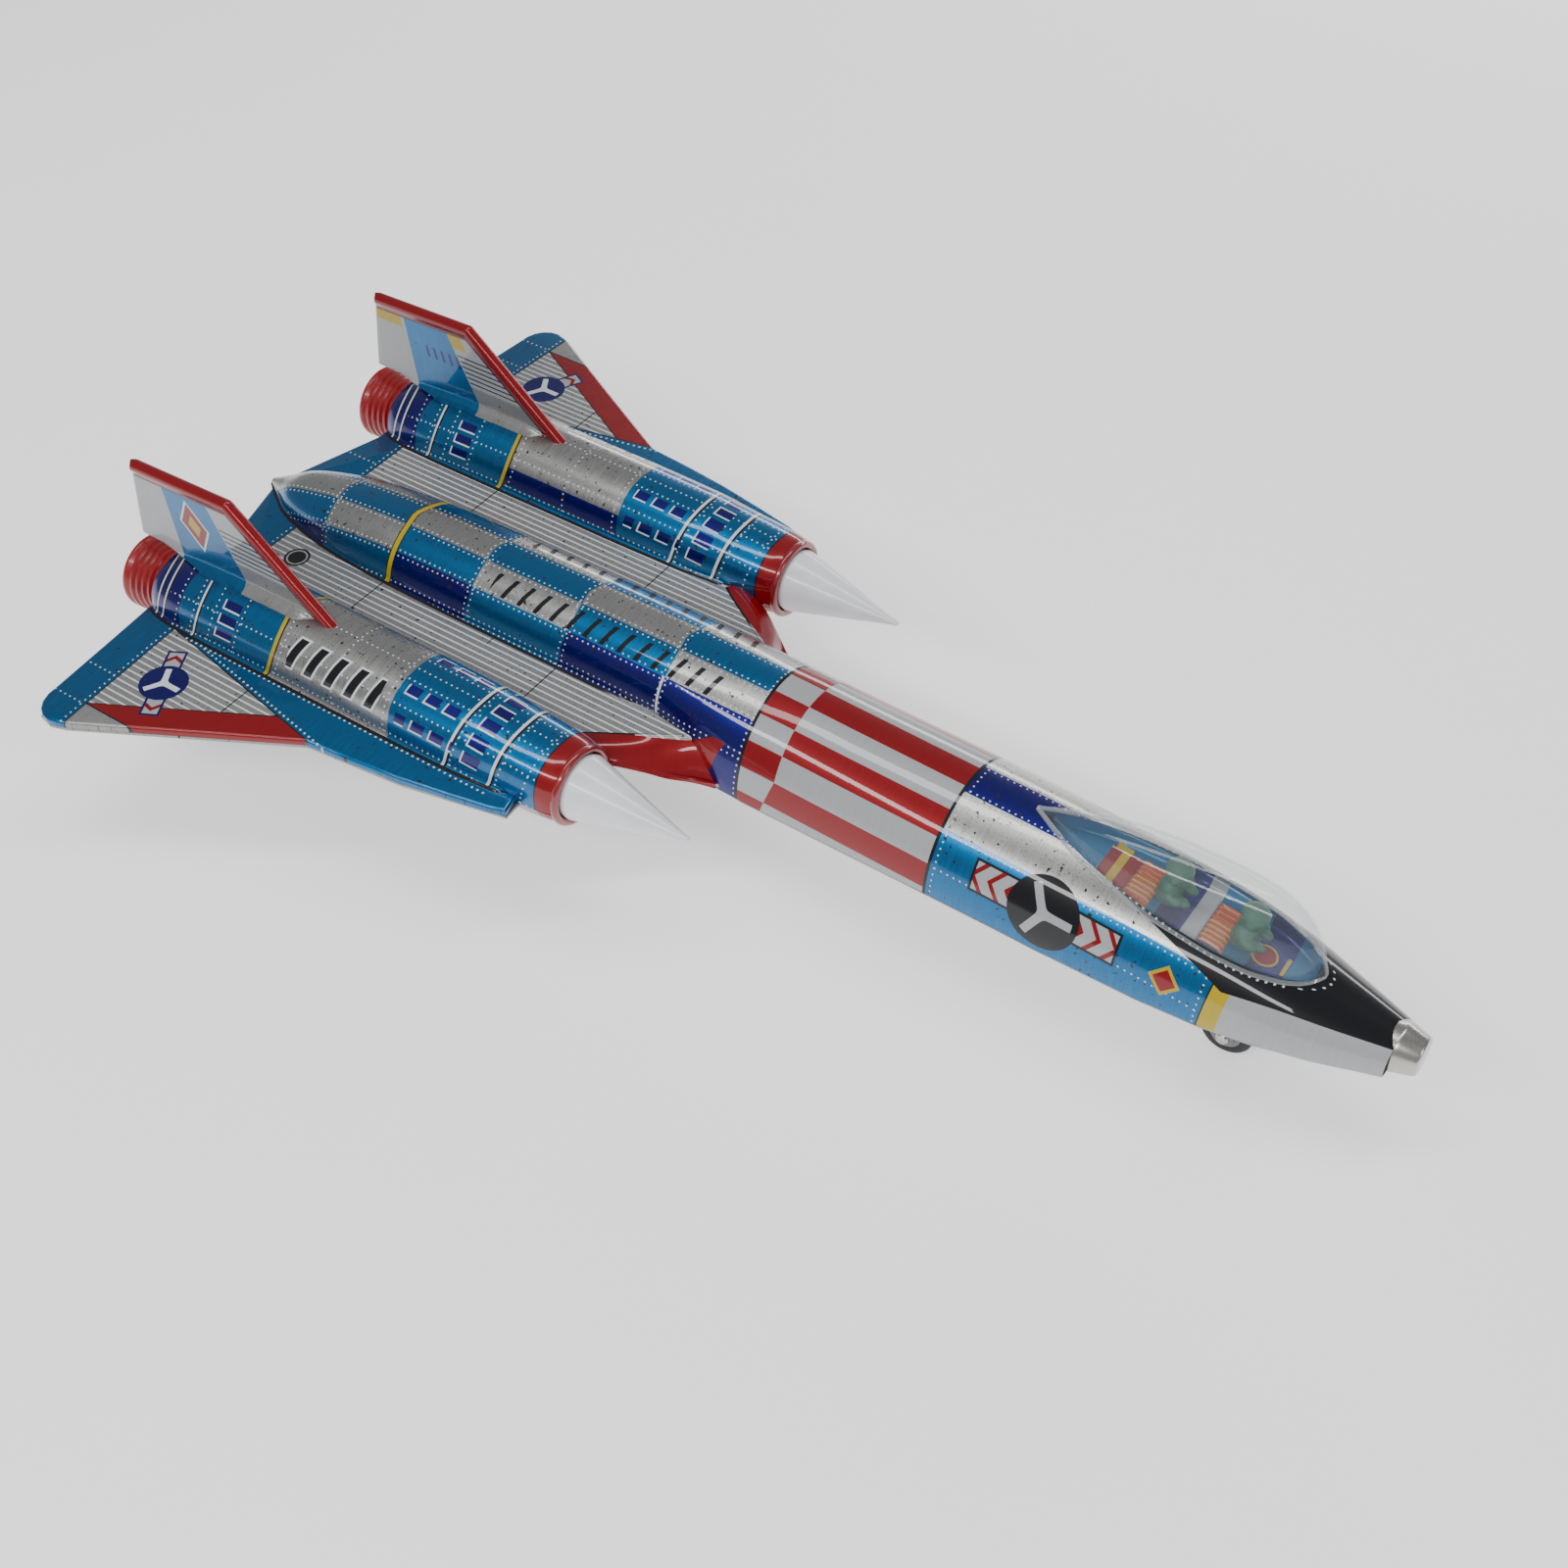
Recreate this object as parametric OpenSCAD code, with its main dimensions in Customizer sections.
// Tin-plate toy jet: delta wing, two engine pods with upright fins, two pilots under a
// clear canopy, a geared flywheel motor in the rear fuselage and a swivelling nose wheel.
// Millimetres, +X to the nose, +Y to port, +Z up. The origin is on the floor under the
// middle of the overall box.

/* [Airframe] */
// Overall length, nose cap to exhaust cups
length = 380.6; // [379:0.2:384]
// Height of the wing's top sheet above the floor
wing_z = 42; // [41.5:0.5:43]
// Centreline to a wing tip
half_span = 112.7; // [111:0.1:116]
// Centreline to an engine's axis
engine_y = 51; // [50:0.5:52]
// Thickness of the tin plate
tin = 0.6; // [0.4:0.1:0.7]
// Gap left between two pressings that meet
seam = 0.25; // [0.2:0.05:0.4]
// Depth of the wing box, top sheet to underside
wing_depth = 3.2; // [3:0.1:4]

/* [Engine pods] */
// Radius of an intake cone at its base
cone_r = 9.5; // [9:0.1:9.6]
// Length of an intake cone in front of its pod
cone_len = 34.7; // [30:0.1:40]
// Radius of an exhaust cup at its rim
cup_r = 11.5; // [11:0.1:12.5]
// Wall of the moulded plastic pieces
plastic = 1.2; // [1:0.1:1.6]

/* [Fins] */
// Height of the fins' highest corner above the floor
fin_top = 85.6; // [82:0.2:90]
// Radius of the rolled bead on a fin's edges
fin_bead_r = 1.9; // [1.6:0.1:2.2]

/* [Friction motor] */
// Place of the drive axle along the fuselage
motor_x = -107; // [-110:1:-100]
// Radius of a drive wheel over its tyre
wheel_r = 14; // [13.5:0.1:14]
// Width of a drive wheel's tyre
wheel_w = 4.2; // [3.6:0.1:4.4]
// Radius of the drive axle
axle_r = 1.25; // [1:0.05:1.4]
// Radius of the two upper shafts
shaft_r = 1; // [0.8:0.05:1.1]
// Gap all round a turning shaft in its bearing
run_gap = 0.05; // [0.03:0.01:0.08]
// Radius of the flywheel
flywheel_r = 10.5; // [9:0.1:10.6]
// Teeth of the gear on the drive axle
drive_teeth = 40; // [40]
// Teeth of the large gear on the reduction shaft
reduction_teeth = 36; // [36]
// Teeth of the two pinions
pinion_teeth = 12; // [12]
// Module of all gears
gear_module = 0.5; // [0.5]

/* [Nose gear] */
// Place of the nose wheel along the fuselage
nose_wheel_x = 142.3; // [141:0.1:143]
// Radius of the nose wheel
nose_wheel_r = 7.2; // [6.8:0.1:7.4]
// Width of the nose wheel
nose_wheel_w = 7; // [6:0.1:7]
// Radius of the nose wheel's axle
nose_axle_r = 0.9; // [0.8:0.05:1]

/* [Hidden] */
$fn = 48;
eps = 0.01;
tail_x = -length / 2;
nose_x = length / 2;
sides = [["port", 1], ["starboard", -1]];

// Fuselage stations: place, half-width at the foot of the arch, crest, height of that foot,
// bottom and fullness of the arch, all heights from the wing plane
fuselage_stations = [
    [-189.4, 1.2, 1, 0, -1.6, 1], [-183, 4.8, 4, 0, -5, 0.9], [-176, 8.9, 7.2, 0, -10.2, 0.86],
    [-166, 12, 9.6, 0, -14, 0.83], [-157, 13.9, 11.4, 0, -17, 0.83],
    [-142, 15.6, 13.1, 0, -19.6, 0.83], [-129, 16.3, 14, 0, -20.4, 0.83],
    [-101, 16.9, 14.5, 0, -20.4, 0.83], [-50, 17.2, 14.7, 0, -20, 0.83],
    [-30, 17.6, 14.6, -1, -18, 0.84], [-15, 20.5, 14.5, -8, -15.4, 0.9],
    [3, 22.8, 14.3, -11.5, -13.4, 1], [28, 22.9, 13.2, -11.7, -13.6, 1],
    [57, 23.1, 11.9, -11.7, -13.6, 1], [81, 22.9, 10.8, -12.3, -14.2, 1],
    [95, 22.7, 9.9, -13, -14.9, 1], [123, 21.5, 7.5, -14.4, -16.3, 1],
    [139, 20.1, 5.2, -14.9, -16.8, 1], [153, 17.9, 1.8, -14.8, -16.9, 1],
    [169, 13.4, -3, -14.2, -17.9, 1], [183.6, 8.6, -6.8, -14, -18.6, 1]];
// Engine pod stations: place, half-width, height above and depth below the axis
pod_stations = [
    [-177, 12, 10.8, 11.2], [-174, 13.2, 11.9, 12], [-166, 14.2, 13.1, 12.8],
    [-147, 14.7, 14.2, 13.2], [-122, 14.7, 14.6, 13.4], [-91, 14.7, 14.5, 13.4],
    [-63, 14.3, 14, 13.2], [-49, 13.4, 13, 12.8], [-39, 12.8, 12.3, 12.4],
    [-32, 12, 11.6, 11.8], [-28.4, 10.8, 10.8, 10.8]];
pod_fullness = 0.86;
// Half of the wing's outline, from its front edge inside the fuselage round to the tail
wing_half = [
    [-41, 0], [-41, 35.7], [-39.3, 69.4], [-70.9, 76], [-101.5, 79],
    [-161.7, half_span - 1.5], [-166.3, half_span], [-170.9, half_span - 1],
    [-174.4, half_span - 5.6], [-174.4, 103], [-178.2, 64.3], [-178, 35.7],
    [-187.8, 2.6], [-188.4, 0]];
// Corners of the drooped leading edge between pod and fuselage, for the port side
glove_corners = [
    [-43, 34.6, -1.3], [-14, 15.8, -1.3], [-31, 37, -2.6], [-17.5, 27.8, -7.7],
    [-5, 21, -10.6], [-43, 34.6, -2.6], [-24, 15.8, -10.6]];
glove_r = 1;

// Canopy stations: place, half-width, crest and foot, heights from the wing plane
canopy_stations = [
    [80.6, 0.4, 12, 11.4], [88, 4.2, 14.8, 10.4], [98, 8, 17.8, 8.6],
    [110, 10.6, 19.8, 6.4], [122, 12, 20.9, 4.3], [134, 12.2, 21.4, 2.3],
    [144, 11.4, 20.8, 0.8], [152, 9.4, 17.6, -0.3], [158, 6.4, 11.6, -0.7],
    [161.4, 2.8, 4.6, -0.6], [162.6, 0.6, 0.8, -0.4]];
canopy_t = 0.8;
// Where the cockpit tray starts and ends, its fall from back to front, and its floor
tray_x0 = 86;
tray_x1 = 158;
tray_slope = 9;
tray_z = wing_z - 2.5;
tray_rise = 8;
pilot_x = [119, 140];

// The friction motor's shafts, as places in the X-Z plane
drive_pos = [motor_x, wheel_r];
reduction_pos = drive_pos + [-5, 12];
flywheel_pos = reduction_pos + [7.2, 9.6];
post_places = [drive_pos + [-17, 14], drive_pos + [15, 17], drive_pos + [-13, 30]];
plate_y = 9;
plate_t = 0.8;
post_r = 1.5;
rivet_r = 1;
wheel_y = 10.3;
hub_r = 10.2;
well = [29, 31];

// Nose gear heights, from the floor
crown_z = 23.2;
crown_t = 0.8;
clench_z = 26.5;
leg_y = 4;
leg_t = 0.8;
pivot_r = 1.5;
pivot_head_r = 2.7;

// ---- lofts and sections ----

// A closed solid through rings of points, given from the tail towards the nose
module loft(rings) {
    n = len(rings[0]);
    m = len(rings);
    walls = [for (i = [0:m - 2], j = [0:n - 1])
        let (a = i * n + j, b = i * n + (j + 1) % n)
        each [[a, a + n, b + n], [a, b + n, b]]];
    tail_end = [for (j = [0:n - 1]) j];
    nose_end = [for (j = [n - 1:-1:0]) (m - 1) * n + j];
    polyhedron([for (r = rings) each r], concat(walls, [tail_end, nose_end]));
}

// Hands its child over as one welded mesh
module pressed() {
    resize([0, 0, 0]) children();
}

// A sine or cosine bent outwards, so that an arch has fuller shoulders as f falls below 1
function fuller(c, f) = sign(c) * abs(c) ^ f;

// Arched section on a flat bottom with rounded edges, grown by g
function fuselage_ring(s, g) =
    let (w = max(s[1] + g, 0.1), top = s[2] + g, foot = s[3], bottom = min(s[4] - g, foot - 0.2),
         bend = min(4, w * 0.6, (foot - bottom) * 0.8))
    [for (i = [0:16]) let (a = 180 * i / 16)
        [s[0], w * fuller(cos(a), s[5]), wing_z + foot + (top - foot) * fuller(sin(a), s[5])],
     for (a = [180:30:270]) [s[0], bend - w + bend * cos(a), wing_z + bottom + bend * (1 + sin(a))],
     for (a = [270:30:360]) [s[0], w - bend + bend * cos(a), wing_z + bottom + bend * (1 + sin(a))]];

// Oval section of an engine pod, grown by g
function pod_ring(s, g) =
    [for (i = [0:27]) let (a = 360 * i / 28)
        [s[0], engine_y + (s[1] + g) * (sin(a) > eps ? fuller(cos(a), pod_fullness) : cos(a)),
         wing_z + (sin(a) > eps ? (s[2] + g) * fuller(sin(a), pod_fullness) : (s[3] + g) * sin(a))]];

// The hollow inside starts a station later than the outside, so the tail's tip is solid
module fuselage_solid(g, d = 0) {
    m = len(fuselage_stations) - 1;
    loft([for (i = [g < 0 ? 1 : 0:m]) let (s = fuselage_stations[i])
        fuselage_ring([s[0] + (i == m ? d : 0), s[1], s[2], s[3], s[4], s[5]], g)]);
}

// A pod is open at both ends, so its hollow inside runs out there, by d in front and by
// 4 times d behind, past the wing's rear edge
module pod_solid(g, d = 0) {
    m = len(pod_stations) - 1;
    loft([for (i = [0:m]) let (s = pod_stations[i])
        pod_ring([s[0] + (i == 0 ? -4 * d : i == m ? d : 0), s[1], s[2], s[3]], g)]);
}

module wing_solid(g) {
    translate([0, 0, wing_z - wing_depth - g])
        linear_extrude(wing_depth + 2 * g)
            offset(delta = g)
                polygon(concat(wing_half, [for (i = [len(wing_half) - 2:-1:1])
                    [wing_half[i][0], -wing_half[i][1]]]));
}

module glove_solid(g) {
    hull() for (p = glove_corners)
        translate([p[0], p[1], wing_z + p[2]]) cube(2 * (glove_r + g), center = true);
}

// Whole outside of the pressed body, grown by g; its ends run out by d
module body_solid(g, d = 0) {
    fuselage_solid(g, d);
    wing_solid(g);
    for (s = [1, -1]) scale([1, s, 1]) {
        pod_solid(g, d);
        glove_solid(g);
    }
}

// Room below the seam between the two pressings, with the seam moved by d. Under the wing the
// seam lies low on its rim, then it drops with the leading edge and follows the nose's bottom.
module below_seam(d) {
    deep = -60;
    wing_seam = [[-200, 130, -2.3], [-44, 130, -2.3], [-31, 130, -2.8], [-17.5, 130, -7.6],
        [-5, 130, -10.2]];
    nose_seam = [for (s = fuselage_stations) if (s[0] > 0)
        [s[0] + (s[0] > 180 ? 8 : 0), 30, max(s[4] + 1.3, s[3] - 2.2)]];
    loft([for (p = concat(wing_seam, nose_seam))
        [for (q = [[p[1], p[2] + d], [-p[1], p[2] + d], [-p[1], deep], [p[1], deep]])
            [p[0], q[0], wing_z + q[1]]]]);
}

module shell_solid() {
    difference() {
        body_solid(0);
        body_solid(-tin, eps + tin);
    }
}

// ---- pressed body ----

// Outline of the canopy's foot, drawn in by d
module canopy_outline(d) {
    port = [for (s = canopy_stations) [s[0], s[1]]];
    offset(delta = -d) polygon(concat(port, [for (i = [len(port) - 1:-1:0])
        [port[i][0], -port[i][1]]]));
}

module fin_slots() {
    for (s = [1, -1], x = [-160, -130])
        translate([x - 4.5, s * engine_y - 1.8, wing_z + 10]) cube([9, 3.6, 10]);
}

module upper_shell() {
    color([0.1, 0.5, 0.7]) pressed() difference() {
        shell_solid();
        below_seam(seam);
        translate([0, 0, wing_z - 10]) linear_extrude(40) canopy_outline(1.4);
        fin_slots();
    }
}

module lower_shell() {
    color([0.72, 0.72, 0.74]) pressed() difference() {
        intersection() {
            shell_solid();
            below_seam(0);
        }
        translate([motor_x - well[0] / 2, -well[1] / 2, 0]) cube([well[0], well[1], wing_z]);
        translate([nose_wheel_x, 0, 10]) cylinder(r = pivot_r + 0.1, h = 20);
    }
}

// ---- cockpit ----

// A box-like prism over the cockpit's outline, standing on the sloping floor
module tray_prism(d, h) {
    translate([tray_x0, 0, tray_z + tray_rise]) rotate([0, tray_slope, 0]) translate([-tray_x0, 0, h])
        linear_extrude(40) intersection() {
            canopy_outline(d);
            translate([tray_x0, -30]) square([tray_x1 - tray_x0, 60]);
        }
}

module cockpit_tray() {
    color([0.15, 0.3, 0.5]) pressed() intersection() {
        fuselage_solid(-tin - seam);
        difference() {
            tray_prism(0.6, 0);
            tray_prism(0.6 + tin, tin);
        }
    }
}

// Height of the tray's floor at x
function tray_floor(x) = tray_z + tray_rise + tin - (x - tray_x0) * tan(tray_slope);

// A helmeted bust, moulded in one piece and seated square on the floor at x
module pilot(x) {
    head_r = 3.9;
    color([0.25, 0.55, 0.4]) translate([x, 0, tray_floor(x) + 0.02]) rotate([0, tray_slope, 0]) {
        translate([0, 0, 9.4]) sphere(head_r, $fn = 24);
        hull() for (s = [1, -1]) {
            translate([-0.5, s * 3, 4.2]) sphere(2.2, $fn = 16);
            translate([-0.5, s * 2.4, 0]) cylinder(r = 2.2, h = 1, $fn = 16);
        }
    }
}

module rear_pilot() {
    pilot(pilot_x[0]);
}

module front_pilot() {
    pilot(pilot_x[1]);
}

function canopy_ring(s, g) =
    let (w = max(s[1] + g, 0.1), top = max(s[2] + g, s[3] + 0.1))
    [for (i = [0:18]) let (a = 180 * i / 18)
        [s[0], w * cos(a), wing_z + s[3] + (top - s[3]) * sin(a)],
     [s[0], -w, wing_z + s[3] - 8], [s[0], w, wing_z + s[3] - 8]];

module canopy() {
    color([0.8, 0.9, 0.95, 0.4]) pressed() difference() {
        loft([for (s = canopy_stations) canopy_ring(s, 0)]);
        loft([for (s = canopy_stations) canopy_ring(s, -canopy_t)]);
        fuselage_solid(seam / 2);
    }
}

// ---- nose cap and engine ends ----

module nose_cap() {
    last = fuselage_stations[len(fuselage_stations) - 1];
    mid_z = wing_z + (last[2] + last[4]) / 2;
    cap_r = 6.6;
    color([0.75, 0.74, 0.7]) union() {
        translate([last[0] + seam, 0, mid_z]) rotate([0, 90, 0])
            cylinder(r1 = cap_r, r2 = 5.2, h = nose_x - last[0] - seam);
        translate([last[0] - 5, 0, mid_z]) rotate([0, 90, 0])
            cylinder(r = 3.8, h = 6);
    }
}

// A turned piece about an engine's axis; the profile is [radius, x] points
module engine_turned(s, profile) {
    translate([0, s * engine_y, wing_z]) rotate([0, 90, 0]) rotate_extrude($fn = 64)
        polygon(profile);
}

module intake_cone(s) {
    base_x = -27.4;
    tip_r = 0.5;
    color([0.95, 0.95, 0.97]) engine_turned(s, [
        [0, base_x + cone_len], [tip_r, base_x + cone_len - 0.2], [cone_r, base_x],
        [cone_r, base_x - 4], [cone_r + 1.2, base_x - 5], [cone_r + 1.2, base_x - 6.5],
        [cone_r - plastic, base_x - 6.5], [cone_r - plastic, base_x - 1], [0, base_x + cone_len - 6]]);
}

module exhaust_cup(s) {
    pod_end = -177;
    ribs = 5;
    pitch = (pod_end - tail_x - 2) / ribs;
    neck_r = 9.4;
    step = (cup_r - 0.6 - neck_r) / ribs;
    outer = [for (i = [0:ribs - 1]) let (x = pod_end - i * pitch, r = neck_r + i * step)
        each [[r, x], [r + step + 0.3, x - pitch * 0.4], [r + step + 0.3, x - pitch * 0.7]]];
    color([0.7, 0.05, 0.05]) engine_turned(s, concat(
        [[0, pod_end + 4], [10.6, pod_end + 4], [10.6, pod_end + 2.4], [neck_r, pod_end + 2.4]],
        outer,
        [[cup_r, tail_x + 1.4], [cup_r, tail_x + 0.4], [cup_r - 0.4, tail_x],
         [cup_r - plastic, tail_x], [neck_r - plastic, pod_end + 2.4], [0, pod_end + 2.4]]));
}

// ---- fins ----

fin_outline = [[-189.1, 57], [-185.3, fin_top - 1.5], [-147, fin_top], [-113.6, 57]];
fin_gap = 0.1;
fin_sheet = 0.9;

function unit(v) = v / norm(v);

// The point p slid along direction u until it is w away from a line of direction e
function slid(p, u, e, w) = p + u * w / abs(u[0] * e[1] - u[1] * e[0]);

// Outline of the bead along the fin's top and leading edge, from m to w inside them
function fin_strip(m, w) =
    let (p = fin_outline, top = unit(p[2] - p[1]), lead = unit(p[3] - p[2]),
         rear = unit(p[0] - p[1]), base = unit(p[0] - p[3]), inward = unit(lead - top))
    [slid(p[1], rear, top, m) + m * top, slid(p[2], inward, top, m), slid(p[3], base, lead, m) - m * lead,
     slid(p[3], base, lead, w) - m * lead, slid(p[2], inward, top, w), slid(p[1], rear, top, w) + m * top];

// One of a fin's two pressed skins; facing is +1 for the side towards port. The bead on its
// edges is two steps of sheet, standing out from the flat panel.
module fin_skin(s, facing) {
    color([0.75, 0.76, 0.78]) translate([0, s * engine_y, 0]) {
        fin_layer(facing, fin_sheet) polygon(fin_outline);
        fin_layer(facing, 1.4) polygon(fin_strip(0.3, 2 * fin_bead_r - 0.3));
        fin_layer(facing, fin_bead_r) polygon(fin_strip(0.8, 2 * fin_bead_r - 0.8));
        for (x = [-160, -130])
            fin_layer(facing, fin_sheet - 0.1) translate([x - 4, wing_z + 12.5]) square([8, 6]);
    }
}

// Sheet in the fin's plane, from the gap at its middle out to t
module fin_layer(facing, t) {
    translate([0, facing > 0 ? t : -fin_gap, 0]) rotate([90, 0, 0])
        linear_extrude(t - fin_gap) children();
}

// ---- friction motor ----

// Turns a drawing in X-Z to face port, its front at y
module facing_port(pos, y) {
    translate([pos[0], y, pos[1]]) rotate([90, 0, 0]) children();
}

// Tooth flank: the involute point at radius r on base radius rb, as [radius, angle]
function flank_angle(r, rb) = sqrt(max((r / rb) ^ 2 - 1, 0)) * 180 / PI - acos(min(rb / r, 1));

// Outline of a spur gear with its first tooth at angle phase
function gear_points(teeth, phase) =
    let (pitch_r = gear_module * teeth / 2, rb = pitch_r * cos(25),
         tip = pitch_r + 0.8 * gear_module, root = pitch_r - 1.05 * gear_module,
         backlash = 0.09, half = 90 / teeth - backlash / pitch_r * 90 / PI,
         flank = [for (k = [0:3]) let (r = max(rb, root) + (tip - max(rb, root)) * k / 3)
             [r, half + flank_angle(pitch_r, rb) - flank_angle(r, rb)]],
         low = [root, flank[0][1] + (root < rb ? 0.6 : 0)])
    [for (i = [0:teeth - 1]) let (c = phase + 360 * i / teeth)
        each concat(
            [low[0] * [cos(c - low[1]), sin(c - low[1])]],
            [for (f = flank) f[0] * [cos(c - f[1]), sin(c - f[1])]],
            [for (k = [3:-1:0]) let (f = flank[k]) f[0] * [cos(c + f[1]), sin(c + f[1])]],
            [low[0] * [cos(c + low[1]), sin(c + low[1])]])];

module spur_gear(pos, y, width, teeth, phase, bore_r) {
    facing_port(pos, y) linear_extrude(width) difference() {
        polygon(gear_points(teeth, phase));
        circle(bore_r);
    }
}

// Direction from one shaft to another
function heading(p, q) = atan2(q[1] - p[1], q[0] - p[0]);
drive_mesh = heading(drive_pos, reduction_pos);
fly_mesh = heading(reduction_pos, flywheel_pos);
pinion_turn = 180 + 180 / pinion_teeth;

module motor_plate(s) {
    outline = [[-19, 22.4], [-14, 22.4], [-4, 10.6], [4, 10.6], [14, 22.4], [19, 22.4],
        [19, 34], [11, 48], [-17, 48], [-20, 34]];
    foot = [4, 2.6];
    color([0.6, 0.6, 0.58]) {
        difference() {
            facing_port([motor_x, 0], s > 0 ? plate_y + plate_t : -plate_y)
                linear_extrude(plate_t) polygon(outline);
            for (h = concat([[drive_pos, axle_r + run_gap], [reduction_pos, shaft_r + run_gap],
                    [flywheel_pos, shaft_r + run_gap]], [for (p = post_places) [p, rivet_r]]))
                facing_port(h[0], 20) cylinder(r = h[1], h = 40);
        }
        for (x = [-19, 15])
            translate([motor_x + x, s > 0 ? plate_y + plate_t : -plate_y - plate_t - foot[1], 22.4])
                cube([foot[0], foot[1], plate_t]);
    }
}

module motor_posts() {
    color([0.7, 0.7, 0.68]) for (p = post_places) {
        facing_port(p, plate_y) cylinder(r = post_r, h = 2 * plate_y);
        facing_port(p, plate_y + plate_t + 0.3) cylinder(r = rivet_r, h = 2 * (plate_y + plate_t + 0.3));
    }
}

module drive_axle() {
    half = wheel_y + wheel_w + 0.4;
    color([0.7, 0.7, 0.72]) facing_port(drive_pos, half) cylinder(r = axle_r, h = 2 * half);
}

module drive_gear() {
    color([0.8, 0.7, 0.4]) spur_gear(drive_pos, -5.5, 2, drive_teeth, drive_mesh, axle_r);
}

module wheel_hub(s) {
    y = s > 0 ? wheel_y + wheel_w : -wheel_y;
    color([0.7, 0.7, 0.72]) facing_port(drive_pos, y) difference() {
        cylinder(r = hub_r, h = wheel_w);
        translate([0, 0, -eps]) cylinder(r = axle_r, h = wheel_w + 1);
        if (s > 0) translate([0, 0, -eps]) wheel_dish();
        else translate([0, 0, wheel_w - 1.2]) wheel_dish();
    }
}

// Ring-shaped recess in a hub's outer face
module wheel_dish() {
    difference() {
        cylinder(r = hub_r - 1.4, h = 1.2 + eps);
        cylinder(r = 3, h = 3);
    }
}

module tyre(s) {
    y = s > 0 ? wheel_y : -wheel_y - wheel_w;
    crown = 0.8;
    color([0.12, 0.12, 0.12]) translate([drive_pos[0], y, drive_pos[1]]) rotate([-90, 0, 0])
        rotate_extrude($fn = 72) polygon([[hub_r, 0], [wheel_r - crown, 0], [wheel_r, crown],
            [wheel_r, wheel_w - crown], [wheel_r - crown, wheel_w], [hub_r, wheel_w]]);
}

module upper_shaft(pos) {
    half = plate_y + plate_t;
    color([0.7, 0.7, 0.72]) facing_port(pos, half) cylinder(r = shaft_r, h = 2 * half);
}

module reduction_shaft() {
    upper_shaft(reduction_pos);
}

module reduction_pinion() {
    color([0.8, 0.7, 0.4])
        spur_gear(reduction_pos, -5, 3, pinion_teeth, drive_mesh + pinion_turn, shaft_r);
}

module reduction_gear() {
    color([0.8, 0.7, 0.4])
        spur_gear(reduction_pos, -2.5, 2, reduction_teeth, fly_mesh, shaft_r);
}

module flywheel_shaft() {
    upper_shaft(flywheel_pos);
}

module flywheel_pinion() {
    color([0.8, 0.7, 0.4])
        spur_gear(flywheel_pos, -1.8, 3.4, pinion_teeth, fly_mesh + pinion_turn, shaft_r);
}

module flywheel() {
    width = 6;
    rim = 2.6;
    color([0.45, 0.45, 0.47]) translate([flywheel_pos[0], 0.2, flywheel_pos[1]])
        rotate([-90, 0, 0]) rotate_extrude($fn = 72) polygon([[shaft_r, 0], [flywheel_r, 0],
            [flywheel_r, width], [flywheel_r - rim, width], [flywheel_r - rim, 2.4],
            [3, 2.4], [3, width], [shaft_r, width]]);
}

// ---- nose gear ----

module fork_pivot() {
    color([0.75, 0.75, 0.73]) translate([nose_wheel_x, 0, 0]) {
        translate([0, 0, crown_z - 1.2]) cylinder(r = pivot_head_r, h = 1.1);
        translate([0, 0, crown_z - 0.5]) cylinder(r = pivot_r, h = clench_z - crown_z + 1);
        translate([0, 0, crown_z + crown_t + 0.1]) cylinder(r = pivot_head_r, h = 0.9);
        translate([0, 0, clench_z]) cylinder(r = pivot_head_r, h = 0.8);
    }
}

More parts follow.
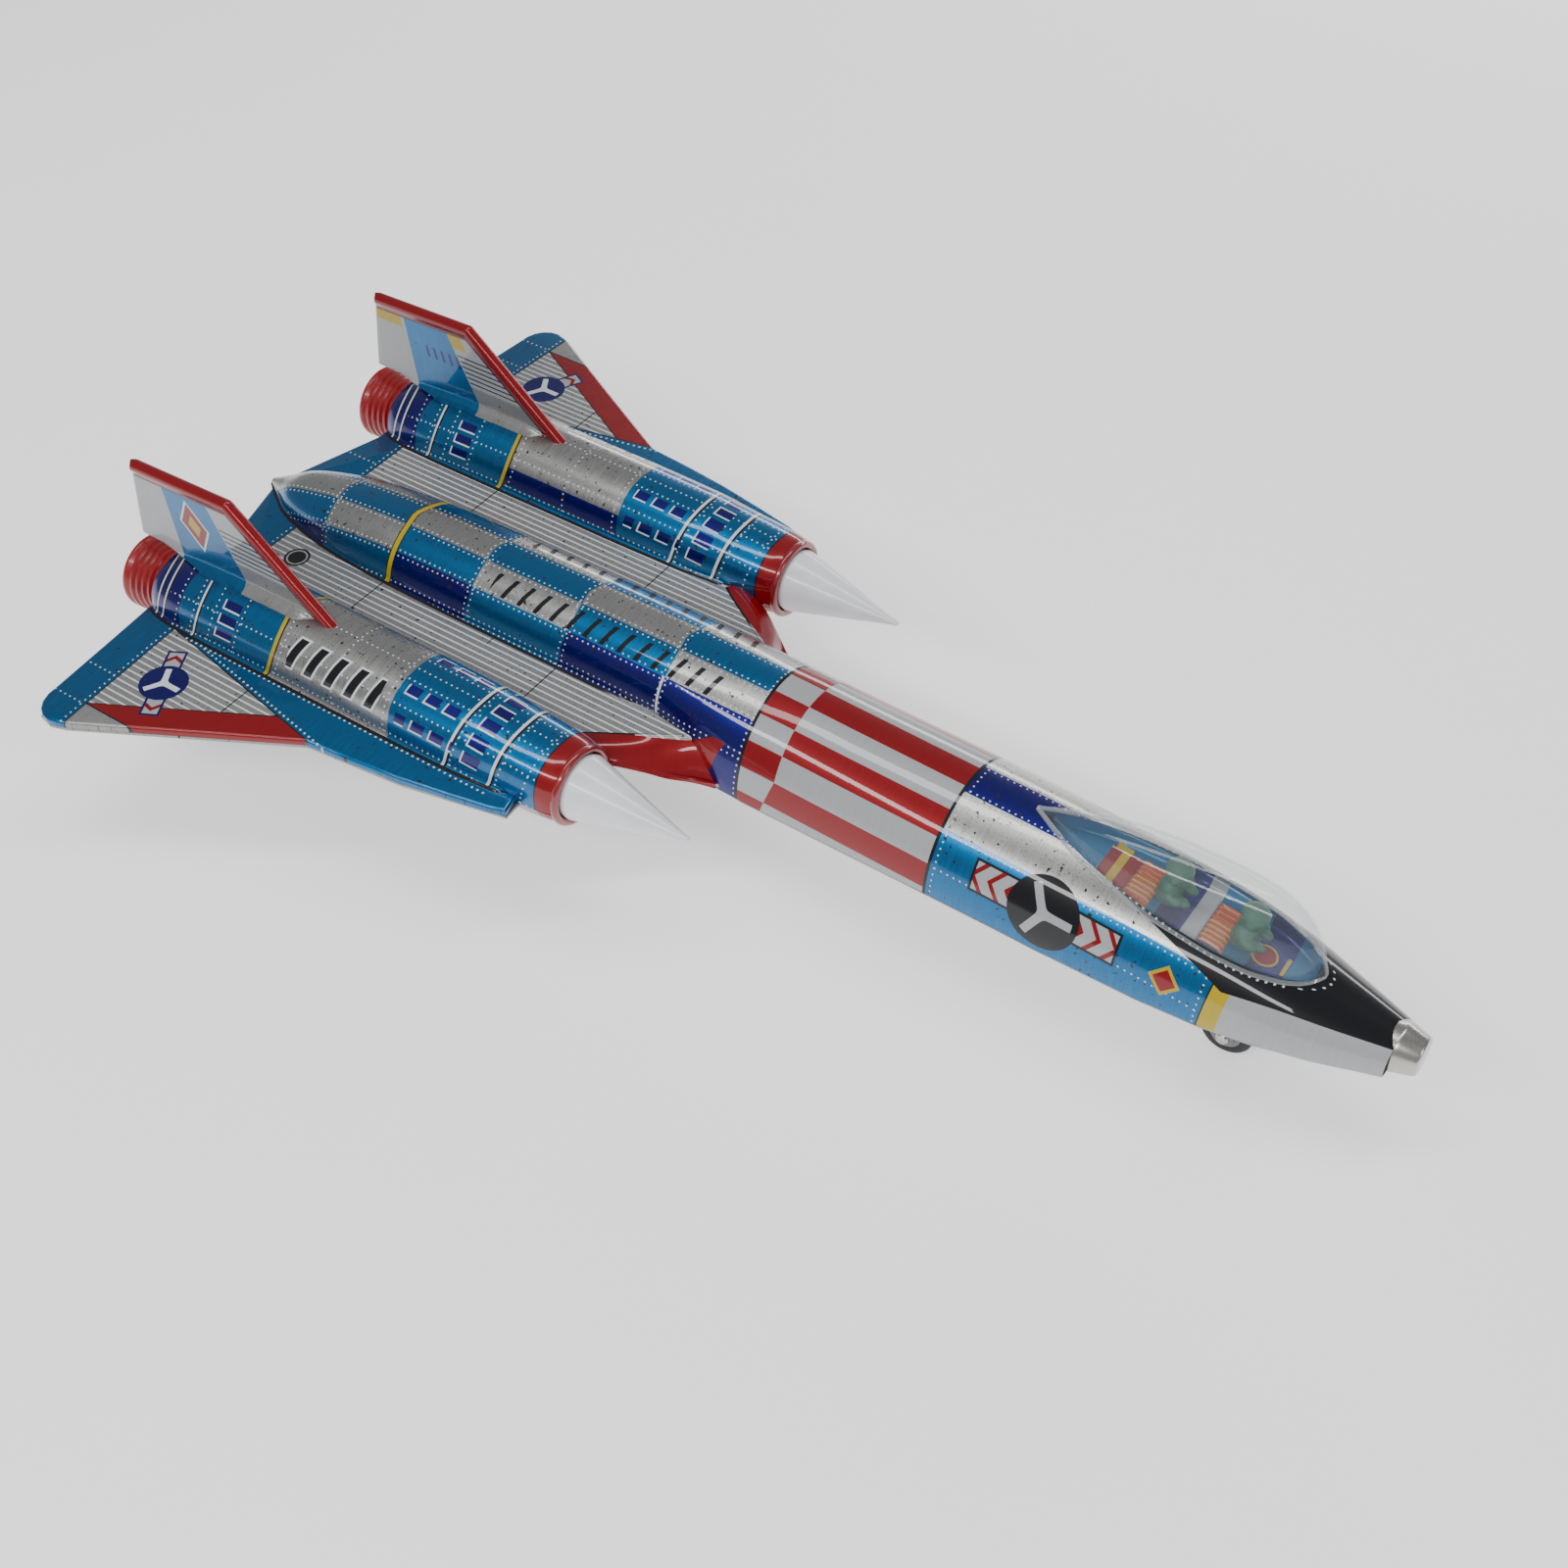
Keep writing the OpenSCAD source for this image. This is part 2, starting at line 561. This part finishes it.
module nose_fork() {
    width = 6;
    color([0.6, 0.6, 0.6]) translate([nose_wheel_x, 0, 0]) difference() {
        union() {
            translate([-width / 2, -leg_y - leg_t, crown_z])
                cube([width, 2 * (leg_y + leg_t), crown_t]);
            for (s = [1, -1]) {
                y = s > 0 ? leg_y : -leg_y - leg_t;
                translate([-width / 2, y, nose_wheel_r]) cube([width, leg_t, crown_z - nose_wheel_r + eps]);
                translate([0, y + leg_t, nose_wheel_r]) rotate([90, 0, 0])
                    cylinder(r = width / 2, h = leg_t);
            }
        }
        translate([0, 0, crown_z - 1]) cylinder(r = pivot_r + run_gap, h = 3);
        translate([0, 10, nose_wheel_r]) rotate([90, 0, 0]) cylinder(r = nose_axle_r, h = 20);
    }
}

module nose_axle() {
    half = leg_y + leg_t;
    head_r = 1.9;
    head_t = 1.3;
    color([0.85, 0.85, 0.85]) translate([nose_wheel_x, 0, nose_wheel_r]) {
        translate([0, half + eps, 0]) rotate([90, 0, 0]) cylinder(r = nose_axle_r, h = 2 * (half + eps));
        for (s = [1, -1]) translate([0, s * half, 0]) rotate([-s * 90, 0, 0])
            rotate_extrude() polygon([[0, 0], [head_r, 0], [head_r - 0.1, head_t * 0.4],
                [head_r * 0.75, head_t * 0.8], [head_r * 0.4, head_t], [0, head_t]]);
    }
}

nose_hub_r = 4.4;

module nose_wheel_hub() {
    color([0.7, 0.7, 0.7]) translate([nose_wheel_x, nose_wheel_w / 2, nose_wheel_r])
        rotate([90, 0, 0]) difference() {
            cylinder(r = nose_hub_r, h = nose_wheel_w);
            translate([0, 0, -1]) cylinder(r = nose_axle_r + run_gap, h = nose_wheel_w + 2);
        }
}

module nose_tyre() {
    crown = 1;
    half = nose_wheel_w / 2;
    color([0.15, 0.15, 0.16]) translate([nose_wheel_x, 0, nose_wheel_r]) rotate([-90, 0, 0])
        rotate_extrude($fn = 64) polygon([[nose_hub_r, -half], [nose_wheel_r - crown, -half],
            [nose_wheel_r, crown - half], [nose_wheel_r, half - crown],
            [nose_wheel_r - crown, half], [nose_hub_r, half]]);
}

// ---- the assembly ----

upper_shell();
lower_shell();
cockpit_tray();
rear_pilot();
front_pilot();
canopy();
nose_cap();
for (s = sides) {
    fin_skin(s[1], s[1]);
    fin_skin(s[1], -s[1]);
    intake_cone(s[1]);
    exhaust_cup(s[1]);
    motor_plate(s[1]);
    wheel_hub(s[1]);
    tyre(s[1]);
}
motor_posts();
drive_axle();
drive_gear();
reduction_shaft();
reduction_pinion();
reduction_gear();
flywheel_shaft();
flywheel_pinion();
flywheel();
fork_pivot();
nose_fork();
nose_axle();
nose_wheel_hub();
nose_tyre();
